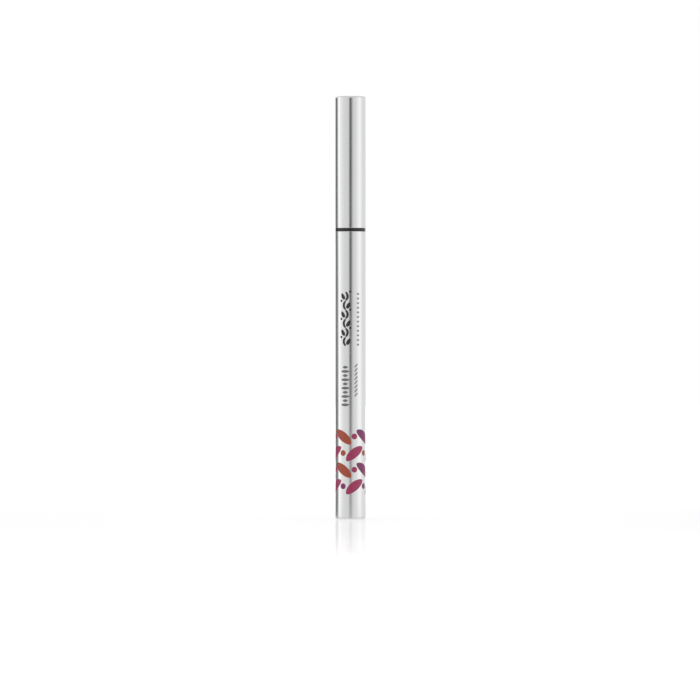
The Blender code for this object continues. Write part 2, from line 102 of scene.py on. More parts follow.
def skin(name, grids, ends="poles"):
    """One mesh over grids of points [copy, row, column, xyz], a face to each cell, columns closed round.

    Columns run to the left of the rows as seen from outside, so that faces point out. The rows of a
    "loop" close too, "poles" shrinks the first and last row to one point, and "open" leaves them.
    """
    copies, rows, columns = grids.shape[:3]
    if ends == "poles":
        inner = grids[:, 1:-1].reshape(copies, -1, 3)
        points = np.concatenate([grids[:, 0, :1], inner, grids[:, -1, :1]], axis=1)
        last = points.shape[1] - 1
        index = np.arange(1, last).reshape(rows - 2, columns)
        index = np.vstack([np.zeros((1, columns), int), index, np.full((1, columns), last)])
    else:
        points = grids.reshape(copies, -1, 3)
        index = np.arange(rows * columns).reshape(rows, columns)
        index = np.vstack([index, index[:1]]) if ends == "loop" else index
    low, high = index[:-1], index[1:]
    cells = np.stack([low, np.roll(low, -1, 1), np.roll(high, -1, 1), high], -1)
    offset = (np.arange(copies) * points.shape[1])[:, None, None]
    quads = cells[1:-1] if ends == "poles" else cells
    faces = (quads.reshape(-1, 4)[None] + offset).reshape(-1, 4).tolist()
    if ends == "poles":
        tips = np.vstack([cells[0][:, 1:], cells[-1][:, :3]])
        faces += (tips[None] + offset).reshape(-1, 3).tolist()
    mesh = bpy.data.meshes.new(name)
    mesh.from_pydata(points.reshape(-1, 3).tolist(), [], faces)
    mesh.shade_smooth()
    mesh.set_sharp_from_angle(angle=math.radians(32))
    piece = bpy.data.objects.new(name, mesh)
    bpy.context.scene.collection.objects.link(piece)
    return piece


def add_node(material, kind, sockets=(), **settings):
    """Add one shader node with its own settings, and feed its sockets from values or other nodes."""
    made = material.node_tree.nodes.new(kind)
    for key, value in settings.items():
        setattr(made, key, value)
    for socket, value in dict(sockets).items():
        if isinstance(value, bpy.types.NodeSocket):
            material.node_tree.links.new(value, made.inputs[socket])
        else:
            made.inputs[socket].default_value = value
    return made


def add_math(material, operation, *values):
    """Add one sum and return its result."""
    return add_node(material, "ShaderNodeMath", enumerate(values), operation=operation).outputs[0]


def blank(name):
    """A node material with nothing in it but its output."""
    material = bpy.data.materials.new(name)
    material.use_nodes = True
    material.node_tree.nodes.clear()
    return material, material.node_tree.nodes.new("ShaderNodeOutputMaterial")


bearing = np.linspace(0, 360, tent_columns, endpoint=False)


def away(centre):
    """Degrees from a bearing round the pen, where 0 is towards the camera and 90 to the right."""
    return (bearing - centre + 180) % 360 - 180


def box_light(centre, spread):
    """Glow of a softbox behind the cloth: a bell round its bearing."""
    return np.exp(-((away(centre) / spread) ** 2))


def gap(centre, half_width, soft):
    """Share of the cloth that is hidden: one inside a gap, falling to zero over its soft edges."""
    return 1 / (1 + np.exp((np.abs(away(centre)) - half_width) / soft))


def cloth_light(inward, hidden):
    """Glow of the cloth by bearing, with its left side turned inward by some degrees.

    Two boxes on the left, one on the right and the wall behind add light. A strip at the wall's right
    end is dimmer, and the flag hides a share of what is there.
    """
    glow = cloth_glow + left_box_glow * box_light(left_box + inward / 2, left_box_spread)
    glow += near_box_glow * box_light(near_box, near_box_spread)
    glow += right_box_glow * box_light(right_box, right_box_spread)
    glow += lit_wall_glow * gap(*lit_wall) - dim_strip_loss * gap(*dim_strip)
    return glow * (1 - hidden * gap(flag + inward, flag_half_width, flag_soft))


camera_gap = (1 - camera_hole_loss * gap(*camera_hole)) * (1 - camera_side_loss * gap(*camera_side))
low_glow = cloth_light(low_inward, low_hidden) * camera_gap
high_glow = cloth_light(high_inward, high_hidden) * camera_gap
turn = np.radians(bearing)
ring = np.stack([np.sin(turn), -np.cos(turn), np.zeros(tent_columns)], -1)
rise = np.array([0, 0, 1])
tent_heights = np.array([0, low_light_end, high_light_start, flag_height, flag_gone, tent_height])
tent_wall = ring * tent_radius + tent_heights[:, None, None] * rise
tent_top = ring * tent_eye + rise * tent_height
tent = skin("light_tent", np.concatenate([tent_wall, tent_top[None]])[None], "open")
tent_glow = [low_glow, low_glow, high_glow, high_glow, cloth_light(inward=0, hidden=0)]
tent_glow = np.concatenate(tent_glow + [np.full(2 * tent_columns, ceiling_glow)])
tent.data.attributes.new("glow", "FLOAT", "POINT").data.foreach_set("value", tent_glow)
cloth, out = blank("lit_cloth")
plain = add_node(cloth, "ShaderNodeLightPath").outputs["Is Diffuse Ray"]
told = add_node(cloth, "ShaderNodeAttribute", attribute_name="glow").outputs["Fac"]
lit = add_node(
    cloth, "ShaderNodeEmission", {"Strength": add_math(cloth, "MULTIPLY_ADD", plain, plain_lift, told)}
)
cloth.node_tree.links.new(lit.outputs[0], out.inputs["Surface"])
cloth.cycles.emission_sampling = "NONE"
tent.data.materials.append(cloth)
tent.visible_camera = False

# World: the plain white that the photograph's background is.
world = bpy.data.worlds.new("white_room")
world.use_nodes = True
world.node_tree.nodes["Background"].inputs["Color"].default_value = (1, 1, 1, 1)
world.node_tree.nodes["Background"].inputs["Strength"].default_value = 1.0
bpy.context.scene.world = world

# Floor: a white sheet whose gloss near the pen mirrors its foot to a level camera. The camera sees it as
# white, all but the pen's own shadow. To metal it glows with painted light and shade, though it is no lamp:
# the cloth's glow by bearing, with a painted shade of the flag and of the camera's gap, and an even painted
# glow close to the foot.
floor_ring_radii = (4.0, 0.3, 0.045)
floor_painted_gap_shade_shares = (0.8, 0.5, 0.15)
floor_painted_gap_shade_place = (0.5, 11, 4)
floor_painted_inward, floor_painted_flag_shade = 11, 0.90
floor_white = 0.85
floor_kept = 0.5
floor_in_metal = 0.2
floor_lit = 0.78
floor_dimmed = 0.160
floor_painted_reflection = 0.85
mirror_share = 0.34
mirror_start = 0.10
mirror_reach = 0.60
steep_share = 0.034
grazing_start = 0.88
grazing_full = 0.965
sheet_roughness = 0.05
foot_painted_glow = 0.85
foot_reach = 0.012
floor_eye = 0.0004
floor_radii = np.array([*floor_ring_radii, foot_reach, floor_eye])
floor = skin("floor", (ring * floor_radii[:, None, None])[None], "open")
# Painted shade in the floor's glow: the camera's gap and the flag darken it by bearing, for metal to
# mirror.
floor_painted_gap_shade = gap(*floor_painted_gap_shade_place)
floor_painted_cloth_light = cloth_light(floor_painted_inward, floor_painted_flag_shade)
floor_painted_glow = [floor_painted_cloth_light * (1 - share * floor_painted_gap_shade) for share in floor_painted_gap_shade_shares]
floor_painted_glow = np.concatenate(floor_painted_glow + [np.full(2 * tent_columns, foot_painted_glow)])
floor.data.attributes.new("glow", "FLOAT", "POINT").data.foreach_set("value", floor_painted_glow)
sheet, out = blank("white_sheet_painted_glow")
path = add_node(sheet, "ShaderNodeLightPath").outputs
told = add_node(sheet, "ShaderNodeAttribute", attribute_name="glow").outputs["Fac"]
seen = add_math(sheet, "MAXIMUM", path["Is Camera Ray"], path["Is Transmission Ray"])
where = add_node(sheet, "ShaderNodeTexCoord").outputs["Object"]
far = add_node(sheet, "ShaderNodeVectorMath", {0: where}, operation="LENGTH").outputs["Value"]
near = add_node(
    sheet,
    "ShaderNodeMapRange",
    {"Value": far, "From Min": mirror_start, "From Max": mirror_reach, "To Min": 1.0, "To Max": 0.0},
    interpolation_type="SMOOTHSTEP",
).outputs[0]
white = add_math(sheet, "MULTIPLY_ADD", seen, floor_kept - floor_white, floor_white)
white = add_math(sheet, "MULTIPLY_ADD", path["Is Glossy Ray"], floor_in_metal - floor_white, white)
# Painted reflection: for glossy rays the floor glows with the painted light and shade above; for camera
# rays it glows plain white.
painted_and_white_glow = add_math(sheet, "MULTIPLY", path["Is Glossy Ray"], floor_painted_reflection)
painted_and_white_glow = add_math(sheet, "MULTIPLY", painted_and_white_glow, told)
plain = add_math(sheet, "MULTIPLY_ADD", near, -floor_dimmed, floor_lit)
painted_and_white_glow = add_math(sheet, "MULTIPLY_ADD", seen, plain, painted_and_white_glow)
matt = add_node(sheet, "ShaderNodeBsdfDiffuse", {"Color": white})
lit = add_node(sheet, "ShaderNodeEmission", {"Strength": painted_and_white_glow})
matt = add_node(sheet, "ShaderNodeAddShader", {0: matt.outputs[0], 1: lit.outputs[0]})
gloss = add_node(sheet, "ShaderNodeBsdfAnisotropic", {"Roughness": sheet_roughness})
facing = add_node(sheet, "ShaderNodeLayerWeight", {"Blend": 0.5}).outputs["Facing"]
angles = {"Value": facing, "From Min": grazing_start, "From Max": grazing_full}
shares = {"To Min": steep_share, "To Max": mirror_share}
grazing = add_node(sheet, "ShaderNodeMapRange", {**angles, **shares}).outputs[0]
mirrored = add_math(sheet, "MULTIPLY", near, grazing)
mixed = add_node(sheet, "ShaderNodeMixShader", {0: mirrored, 1: matt.outputs[0], 2: gloss.outputs[0]})
sheet.node_tree.links.new(mixed.outputs[0], out.inputs["Surface"])
sheet.cycles.emission_sampling = "NONE"
floor.data.materials.append(sheet)

# Tail plug: the silver end that the pen stands on, turned from aluminium and pressed into the sleeve.
# A hairline seam parts its thin flange from the sleeve.
fine_sides = 192
tail_edge = 0.00035
tail_flange = 0.0006
spigot_radius = 0.0044
tail_bore = 0.0034
tail_floor = 0.0012


def rounded(corners, steps=5, guard=0.00005):
    """Points of an outline of (radius, height, fillet) corners, as an array of (radius, height).

    A fillet is an arc that touches both of its corner's runs: its centre lies on the line that halves
    the corner, at the fillet over the sine of half the corner's angle, and its points turn evenly from
    one run to the other. A guard point just outside each end keeps the shading of long runs straight.
    A corner with no fillet stays one point.
    """
    corners = np.array(corners, float)
    place, fillet = corners[:, None, :2], corners[:, None, 2:]
    back, ahead = np.roll(place, 1, 0) - place, np.roll(place, -1, 0) - place
    run_back, run_ahead = (np.linalg.norm(run, axis=-1, keepdims=True) for run in (back, ahead))
    back, ahead = back / run_back, ahead / run_ahead
    half = np.arccos(np.clip((back * ahead).sum(-1, keepdims=True), -1, 1)) / 2
    halfway = (back + ahead) / np.maximum(np.linalg.norm(back + ahead, axis=-1, keepdims=True), 1e-9)
    centre = place + halfway * fillet / np.sin(half)
    reach = fillet / np.tan(half)
    start, end = place + back * reach - centre, place + ahead * reach - centre
    sweep = math.pi - 2 * half
    share = np.linspace(0, 1, steps + 1)[None, :, None]
    turning = np.maximum(np.sin(sweep), 1e-9)
    arc = centre + (np.sin((1 - share) * sweep) * start + np.sin(share * sweep) * end) / turning
    before = place + back * (reach + np.minimum(guard, run_back / 8))
    after = place + ahead * (reach + np.minimum(guard, run_ahead / 8))
    points = np.where(fillet > 0, np.concatenate([before, arc, after], 1), place)
    kept = (fillet[..., 0] > 0) | (np.arange(points.shape[1]) == 0)
    return points[kept]


def turned(name, node, corners, sides=fine_sides):
    """Turn an outline round Z in place of a solid: (r, z) at angle a goes to (r cos a, r sin a, z).

    The outline runs up the outside and down the inside. It closes on itself, or on the axis where its
    first and last corner lie there.
    """
    outline = rounded(corners)
    angle = np.linspace(0, math.tau, sides, endpoint=False)
    radius = outline[:, :1]
    height = np.repeat(outline[:, 1:], sides, 1)
    grid = np.stack([radius * np.cos(angle), radius * np.sin(angle), height], -1)
    return settled(skin(name, grid[None], "poles" if corners[0][0] == 0 else "loop"), node)


def settled(piece, node):
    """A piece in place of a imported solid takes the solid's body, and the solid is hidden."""
    body = next(body for body, nodes in frame["record"]["behaviour"]["bodies"].items() if node in nodes)
    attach(piece, body)
    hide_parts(node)
    return piece


def drift(material, scales, shift):
    """Noise over the piece's own coordinates, at its own scale per metre along each axis."""
    where = add_node(material, "ShaderNodeTexCoord").outputs["Object"]
    placed = {"Vector": where, "Location": (shift, 0, 0), "Scale": scales}
    spot = add_node(material, "ShaderNodeMapping", placed).outputs[0]
    noise = {"Vector": spot, "Scale": 1.0, "Detail": 3.0}
    return add_node(material, "ShaderNodeTexNoise", noise).outputs[0]


def finish(piece, name, dark, light, clouds, grain, rough, relief, shift=0.0, sockets=()):
    """Give a piece a surface whose tone and gloss drift with one noise, its height with a finer one.

    Clouds and grain are the two noises' scales along X, Y and Z per metre, rough is the lowest and the
    highest roughness, and relief the height of the grain. Shift starts the noises elsewhere.
    """
    material, out = blank(name)
    slow, fine = drift(material, clouds, shift), drift(material, grain, shift)
    tone = add_node(material, "ShaderNodeMix", {0: slow, 6: (*dark, 1), 7: (*light, 1)}, data_type="RGBA")
    spread = {"Value": slow, "To Min": rough[0], "To Max": rough[1]}
    gloss = add_node(material, "ShaderNodeMapRange", spread)
    bump = add_node(material, "ShaderNodeBump", {"Height": fine, "Strength": 0.5, "Distance": relief})
    looks = {"Base Color": tone.outputs[2], "Roughness": gloss.outputs[0], "Normal": bump.outputs[0]}
    surface = add_node(material, "ShaderNodeBsdfPrincipled", {**looks, **dict(sockets)})
    material.node_tree.links.new(surface.outputs[0], out.inputs["Surface"])
    piece.data.materials.append(material)


def silver(piece, name, shift):
    """Satin silver anodised aluminium, drawn lengthwise: fine lines along Z, patchy gloss and tone."""
    dark, light = (0.825, 0.828, 0.832), (0.855, 0.856, 0.858)
    clouds, grain = (260, 260, 60), (9000, 9000, 120)
    finish(piece, name, dark, light, clouds, grain, (0.18, 0.23), 0.0000008, shift, {"Metallic": 1.0})


body_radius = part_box("tail_plug")[1].x
tail_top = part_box("tail_plug")[1].z
tail = turned(
    "tail_plug_silver",
    "tail_plug",
    [
        (0, 0, 0),
        (body_radius, 0, tail_edge),
        (body_radius, tail_flange, 0.00004),
        (spigot_radius, tail_flange, 0),
        (spigot_radius, tail_top, 0.0003),
        (tail_bore, tail_top, 0.0001),
        (tail_bore, tail_floor, 0.0003),
        (0, tail_floor, 0),
    ],
)
silver(tail, "tail_silver", 3.0)

# Barrel sleeve: a thin aluminium tube, drawn, polished lengthwise and anodised silver. Its ends are cut
# square and just broken, and it is slid over the tail plug and the neck collar.
sleeve_bore = 0.0045
sleeve_edge = 0.00008
barrel_low, barrel_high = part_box("barrel_shell")
barrel = turned(
    "barrel_sleeve",
    "barrel_shell",
    [
        (sleeve_bore, barrel_low.z, 0.00003),
        (body_radius, barrel_low.z, sleeve_edge),
        (body_radius, barrel_high.z, sleeve_edge),
        (sleeve_bore, barrel_high.z, 0.00003),
    ],
)
silver(barrel, "barrel_silver", 0.0)

# Prints on the barrel: ink pressed on the sleeve through a screen, a few hundredths thick, as plain
# strokes with tapered or rounded ends. Low down, rows of leaves and dots in three colours go round it.
ink_film = 0.00002
stroke_rows = 28
stroke_columns = 10
least_bend = 0.000001
thick_tone = 0.86
thin_tone = 1.18
thin_lift = 0.01
gloss_spread = 0.05
ink_clouds = (900, 900, 900)
ink_grain = (9000, 9000, 9000)
ink_relief = 0.0000024
mm = 0.001


def print_marks(name, marks, colour, roughness):
    """Print ink strokes on the barrel, one closed shell each, from rows of eight numbers.

    They are arc length and height of the middle, heading and bend in degrees, length, half width, end
    power and skew, all lengths in millimetres. The middle line is an arc that turns evenly by the bend.
    At a share t along it the half width is multiplied by (4 u (1 - u)) to the end power, where u is t
    to the skew: 0.5 makes an ellipse, more makes points, less makes blunt ends. Across, the film swells
    from the metal and falls back to it, and its underside lies just inside the metal.
    """
    marks = np.array(marks, float) * [mm, mm, 1, 1, mm, mm, 1, 1]
    round_at, up_at, heading, bend, length, half_width, end_power, skew = marks.T[:, :, None]
    heading, bend = np.radians(heading), np.radians(bend) + least_bend
    share = (1 - np.cos(np.linspace(0, math.pi, stroke_rows))) / 2
    facing = heading + bend * (share - 0.5)
    along = round_at + length / bend * (np.sin(facing) - np.sin(heading))
    up = up_at - length / bend * (np.cos(facing) - np.cos(heading))
    fat = share**skew
    half = half_width * np.clip(4 * fat * (1 - fat), 0, 1) ** end_power
    across = np.cos(np.linspace(math.pi, 0, stroke_columns))
    lift = ink_film * (1 - across**8)
    across = np.concatenate([across, across[-2:0:-1]])
    lift = np.concatenate([lift, np.full(stroke_columns - 2, -ink_film)])
    along = along[..., None] + np.sin(facing)[..., None] * half[..., None] * across
    up = up[..., None] - np.cos(facing)[..., None] * half[..., None] * across
    angle = along / body_radius - math.pi / 2
    radius = body_radius + lift
    piece = skin(name, np.stack([radius * np.cos(angle), radius * np.sin(angle), up], -1))
    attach(piece, "pen")
    thick = tuple(thick_tone * part for part in colour)
    thin = tuple(thin_tone * part + thin_lift for part in colour)
    gloss = (roughness - gloss_spread, roughness + gloss_spread)
    finish(piece, name + "_ink", thick, thin, ink_clouds, ink_grain, gloss, ink_relief)


band_rows = 4
band_columns = 4
band_foot = 10.9
band_rise = 5.4
band_start = 1.3
band_pitch = 2 * math.pi * body_radius / mm / band_columns
leaf_slant = 52
leaf_bend = 25
leaf_shape = (7.4, 1.5, 0.6, 1.0)
bead_shape = (1.9, 0.95, 0.5, 1.0)
leaf_colours = (("magenta", "magenta"), ("purple", "orange"), ("magenta", "magenta"), ("orange", "purple"))
bead_colours = ("purple", "magenta", "orange", "magenta")
band_marks = {"magenta": [], "orange": [], "purple": []}
for row in range(band_rows):
    height = band_foot + band_rise * row
    side = 1 if row % 2 else -1
    for column in range(band_columns):
        middle = band_start + band_pitch * (column + row / 2)
        leaf = (middle, height, 90 + leaf_slant * side, leaf_bend * side, *leaf_shape)
        bead = (middle + band_pitch / 2, height, 0, 0, *bead_shape)
        band_marks[leaf_colours[row][column % 2]].append(leaf)
        band_marks[bead_colours[row]].append(bead)
print_marks("print_magenta", band_marks["magenta"], (0.335, 0.025, 0.095), 0.32)
print_marks("print_orange", band_marks["orange"], (0.355, 0.055, 0.022), 0.32)
print_marks("print_purple", band_marks["purple"], (0.195, 0.017, 0.105), 0.32)

# Dark prints above the coloured band: a running scroll of arcs, leaves and dots in black, a row of long
# and short pointed bars in dark grey, and in paler grey a row of small dots and one of slanted seeds.
scroll_middle = -1.62
scroll_foot = 58.0
scroll_pitch = 2.95
scroll_units = 6
arc_aside, arc_bend, arc_shape = 0.65, 110, (3.2, 0.4, 0.3, 1.0)
frond_aside, frond_drop, frond_slant, frond_bend, frond_shape = 0.95, 0.05, 28, 30, (2.3, 0.6, 0.65, 0.8)
berry_aside, berry_shape = 1.55, (0.8, 0.4, 0.5, 1.0)
scroll_marks = []
for unit in range(scroll_units):
    foot = scroll_foot + unit * scroll_pitch
    side = 1 if unit % 2 else -1
    frond_middle = scroll_middle - frond_aside * side
    scroll_marks += [
        (scroll_middle + arc_aside * side, foot, 90, arc_bend * side, *arc_shape),
        (frond_middle, foot - frond_drop, 90 + frond_slant * side, -frond_bend * side, *frond_shape),
        (scroll_middle + berry_aside * side, foot + scroll_pitch / 2, 0, 0, *berry_shape),
    ]
row_middle = -1.77
row_foot = 37.4
row_pitch = 1.36
bar_pairs = 5
long_bar, short_bar = 3.2, 1.9
bar_shape = (0.46, 1.0, 1.0)
bar_marks = []
for step, length in enumerate((long_bar, short_bar) * bar_pairs):
    bar_marks.append((row_middle, row_foot + row_pitch * step, 0, 0, length, *bar_shape))
dot_count = 12
dot_middle = 2.55
dot_foot = 57.0
dot_pitch = 1.5
dot_shape = (0.95, 0.36, 0.5, 1.0)
dot_marks = [(dot_middle, dot_foot + dot_pitch * step, 0, 0, *dot_shape) for step in range(dot_count)]
seed_count = 8
seed_middle = 1.85
seed_foot = 40.7
seed_pitch = 1.35
seed_slant = 50
seed_shape = (1.7, 0.3, 0.5, 1.0)
for step in range(seed_count):
    dot_marks.append((seed_middle, seed_foot + seed_pitch * step, seed_slant, 0, *seed_shape))
print_marks("print_scroll", scroll_marks, (0.016, 0.016, 0.017), 0.36)
print_marks("print_bars", bar_marks, (0.14, 0.14, 0.143), 0.38)
print_marks("print_dots", dot_marks, (0.30, 0.30, 0.305), 0.38)

# Tank: a tube of natural polypropylene inside the barrel that holds the liquid. A hollow plug closes it
# behind, and a seal with a funnel and a feed hole in front, both pushed in up to their flanges.
tank_bore = 0.0037
stopper_radius = 0.0036
stopper_flange = 0.0008
plug_hollow = 0.0026
plug_roof = 0.0008
funnel_mouth = 0.0025
funnel_rim = 0.0033
funnel_depth = 0.0022
feed_hole = 0.00095


def natural_plastic(piece, shift):
    """Uncoloured polypropylene: milky, so that light goes a little way in, with a fine moulded grain."""
    dark, light = (0.70, 0.72, 0.72), (0.76, 0.78, 0.775)
    milky = {"Subsurface Weight": 0.15, "Subsurface Scale": 0.0006, "Subsurface Radius": (1, 1, 1)}
    name = piece.name + "_plastic"
    finish(piece, name, dark, light, (350,) * 3, (2100,) * 3, (0.36, 0.46), 0.000004, shift, milky)


plug_low, plug_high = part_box("tank_end_plug")
tank_radius = plug_high.x
end_plug = turned(
    "tank_end_plug_natural",
    "tank_end_plug",
    [
        (0, plug_high.z - plug_roof, 0),
        (plug_hollow, plug_high.z - plug_roof, 0.0003),
        (plug_hollow, plug_low.z, 0.0001),
        (tank_radius, plug_low.z, 0.0001),
        (tank_radius, plug_low.z + stopper_flange, 0.0001),
        (stopper_radius, plug_low.z + stopper_flange, 0.00005),
        (stopper_radius, plug_high.z, 0.0003),
        (0, plug_high.z, 0),
    ],
)
natural_plastic(end_plug, 1.0)
tank_low, tank_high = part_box("ink_tank")
tank = turned(
    "ink_tank_natural",
    "ink_tank",
    [
        (tank_bore, tank_low.z, 0.0001),
        (tank_radius, tank_low.z, 0.0001),
        (tank_radius, tank_high.z, 0.0001),
        (tank_bore, tank_high.z, 0.0001),
    ],
)
natural_plastic(tank, 2.0)
seal_low, seal_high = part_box("tank_seal")
seal = turned(
    "tank_seal_natural",
    "tank_seal",
    [
        (feed_hole, seal_low.z + funnel_depth, 0.0001),
        (funnel_mouth, seal_low.z, 0.0001),
        (funnel_rim, seal_low.z, 0.0001),
        (stopper_radius, seal_low.z + stopper_radius - funnel_rim, 0.0001),
        (stopper_radius, seal_high.z - stopper_flange, 0.00005),
        (tank_radius, seal_high.z - stopper_flange, 0.0001),
        (tank_radius, seal_high.z, 0.0001),
        (feed_hole, seal_high.z, 0.00005),
    ],
)
natural_plastic(seal, 3.0)

# Agitator ball: a loose polished steel ball that stirs the liquid when the pen is shaken.
ball_rows = 33
ball_columns = 64
ball_low, ball_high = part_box("agitator_ball")
ball_radius = ball_high.x
pole_to_pole = np.linspace(-math.pi / 2, math.pi / 2, ball_rows)
around = np.linspace(0, math.tau, ball_columns, endpoint=False)
round_ring = np.stack([np.cos(around), np.sin(around), np.zeros(ball_columns)], -1)
ball_grid = ball_radius * np.cos(pole_to_pole)[:, None, None] * round_ring
ball_grid += (ball_low.z + ball_radius + ball_radius * np.sin(pole_to_pole))[:, None, None] * rise
ball = settled(skin("agitator_ball_steel", ball_grid[None]), "agitator_ball")


def steel(piece, name, clouds, grain, rough, relief):
    """Bright stainless steel."""
    dark, light = (0.57, 0.57, 0.58), (0.64, 0.64, 0.65)
    finish(piece, name, dark, light, clouds, grain, rough, relief, 0.0, {"Metallic": 1.0})


steel(ball, "ball_steel", (600,) * 3, (3600,) * 3, (0.10, 0.16), 0.0000008)

# Feed: a thin pipe round a bonded fibre core draws the liquid from the tank to the brush. Round the pipe
# a finned collector, moulded in natural plastic, holds what would flood.
core_radius = 0.0005
pipe_bore = 0.0006
collector_hub = 0.0016
fin_count = 17
fin_thickness = 0.0005
core_low, core_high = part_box("relay_core")
core = turned(
    "relay_core_fibre",
    "relay_core",
    [
        (0, core_low.z, 0),
        (core_radius, core_low.z, 0.0001),
        (core_radius, core_high.z, 0.0001),
        (0, core_high.z, 0),
    ],
    sides=48,
)
fibre_dark, fibre_light = (0.035, 0.032, 0.033), (0.08, 0.072, 0.075)
strands, hairs = (5000, 5000, 150), (30000, 30000, 900)
finish(core, "core_fibre", fibre_dark, fibre_light, strands, hairs, (0.8, 0.92), 0.00002)
pipe_low, pipe_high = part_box("core_pipe")
pipe = turned(
    "core_pipe_natural",
    "core_pipe",
    [
        (pipe_bore, pipe_low.z, 0.00005),
        (pipe_high.x, pipe_low.z, 0.00005),
        (pipe_high.x, pipe_high.z, 0.00005),
        (pipe_bore, pipe_high.z, 0.00005),
    ],
    sides=64,
)
natural_plastic(pipe, 4.0)
collector_low, collector_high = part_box("collector")
fin_pitch = (collector_high.z - collector_low.z - fin_thickness) / (fin_count - 1)
fins = []
for fin in range(fin_count):
    fin_low = collector_low.z + fin * fin_pitch
    fin_high = fin_low + fin_thickness
    fins += [
        (collector_hub, fin_low, 0.00008),
        (collector_high.x, fin_low, 0.0001),
        (collector_high.x, fin_high, 0.0001),
        (collector_hub, fin_high, 0.00008),
    ]
bore_ends = (feed_hole, collector_high.z, 0.00005), (feed_hole, collector_low.z, 0.00005)
collector = turned("collector_natural", "collector", fins[1:-1] + list(bore_ends), sides=96)
natural_plastic(collector, 5.0)

# Neck collar: gloss black plastic moulded in one piece, its long spigot in the barrel, its ring the
# black line between the sleeves, its neck under the cap with a groove and a low snap bead.
ring_edge = 0.00008
hairline = 0.00003
collar_bore = 0.00375
neck_radius = 0.00365
neck_bore = 0.00175
web_under_ring = 0.0008
web_over_ring = 0.0006
groove_spare = 0.0001
bead_under_top = 0.0028
bead_half = 0.0004
bead_proud = 0.0001


def gloss_black(piece, shift, rough):
    """Black plastic from a polished mould: a faint unevenness breaks the gloss."""
    dark, light = (0.010, 0.010, 0.011), (0.017, 0.017, 0.018)
    finish(piece, piece.name + "_plastic", dark, light, (900,) * 3, (5400,) * 3, rough, 0.000002, shift)


collar_low, collar_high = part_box("neck_collar")
ring_low = barrel_high.z + hairline
ring_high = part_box("cap_shell")[0].z - hairline
o_ring_low, o_ring_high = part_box("neck_o_ring")
o_ring_half = (o_ring_high.z - o_ring_low.z) / 2
groove_middle = o_ring_low.z + o_ring_half
groove_half = o_ring_half + groove_spare
groove_floor = o_ring_high.x - 2 * o_ring_half - groove_spare
bead_middle = collar_high.z - bead_under_top
collar = turned(
    "neck_collar_black",
    "neck_collar",
    [
        (collar_bore, collar_low.z, 0.0001),
        (spigot_radius, collar_low.z, 0.0002),
        (spigot_radius, ring_low, 0),
        (body_radius, ring_low, ring_edge),
        (body_radius, ring_high, ring_edge),
        (neck_radius, ring_high, 0.00015),
        (neck_radius, groove_middle - groove_half, 0.00008),
        (groove_floor, groove_middle - groove_half, 0.00005),
        (groove_floor, groove_middle + groove_half, 0.00005),
        (neck_radius, groove_middle + groove_half, 0.00008),
        (neck_radius, bead_middle - bead_half, 0.0006),
        (neck_radius + bead_proud, bead_middle, 0.0006),
        (neck_radius, bead_middle + bead_half, 0.0006),
        (neck_radius, collar_high.z, 0.0003),
        (neck_bore, collar_high.z, 0.0001),
        (neck_bore, ring_high + web_over_ring, 0),
        (feed_hole, ring_high + web_over_ring, 0),
        (feed_hole, ring_low - web_under_ring, 0),
        (collar_bore, ring_low - web_under_ring, 0),
    ],
)
gloss_black(collar, 0.0, (0.22, 0.30))

# O-ring: a ring of black nitrile rubber in the neck's groove, just proud of it, that the cap closes on.
# It is moulded with a fine parting line round its outside.
parting_line = 0.00001
parting_spread = 0.08
section_sides = 96
around = np.linspace(0, math.tau, fine_sides, endpoint=False)
section = np.linspace(0, math.tau, section_sides, endpoint=False)
from_parting = np.minimum(section, math.tau - section) / parting_spread
thick = o_ring_half - parting_line * np.exp(-(from_parting**2))
radius = (o_ring_high.x - o_ring_half + thick * np.cos(section))[:, None]
height = np.repeat((groove_middle + thick * np.sin(section))[:, None], fine_sides, 1)
o_ring_grid = np.stack([radius * np.cos(around), radius * np.sin(around), height], -1)
o_ring = settled(skin("neck_o_ring_rubber", o_ring_grid[None], "loop"), "neck_o_ring")
matt_rubber = (0.62, 0.78)
rubber_dark, rubber_light = (0.016, 0.016, 0.016), (0.026, 0.026, 0.026)
finish(o_ring, "o_ring_rubber", rubber_dark, rubber_light, (2500,) * 3, (15000,) * 3, matt_rubber, 0.000006)

# Nose cone: the same black plastic, pressed into the neck. Its flat flange is what the inner cap seals
# on, and its taper ends in a thin lip round the ferrule.
nose_bore = 0.00105
nose_spigot = 0.00165
nose_flange = 0.00335
nose_seat_height = 0.0007
nose_base = 0.0025
nose_tip = 0.0013
nose_low, nose_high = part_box("nose_cone")
seat = collar_high.z + nose_seat_height
nose = turned(
    "nose_cone_black",
    "nose_cone",
    [
        (nose_bore, nose_low.z, 0.0001),
        (nose_spigot, nose_low.z, 0.0002),
        (nose_spigot, collar_high.z + hairline, 0),
        (nose_flange, collar_high.z + hairline, 0.00008),
        (nose_flange, seat, 0.00015),
        (nose_base, seat, 0.0002),
        (nose_tip, nose_high.z, 0.00012),
        (nose_bore, nose_high.z, 0.00004),
    ],
)
gloss_black(nose, 1.0, (0.24, 0.32))

# Ferrule: a thin bright steel tube, drawn lengthwise, that holds the brush root and stands a little out
# of the nose.
ferrule_bore = 0.00075
ferrule_low, ferrule_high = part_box("brush_ferrule")
ferrule_radius = ferrule_high.x
ferrule = turned(
    "brush_ferrule_steel",
    "brush_ferrule",
    [
        (ferrule_bore, ferrule_low.z, 0.00003),
        (ferrule_radius, ferrule_low.z, 0.00006),
        (ferrule_radius, ferrule_high.z, 0.00009),
        (ferrule_bore, ferrule_high.z, 0.00003),
    ],
    sides=96,
)
steel(ferrule, "ferrule_steel", (4000, 4000, 80), (24000, 24000, 480), (0.16, 0.24), 0.000001)

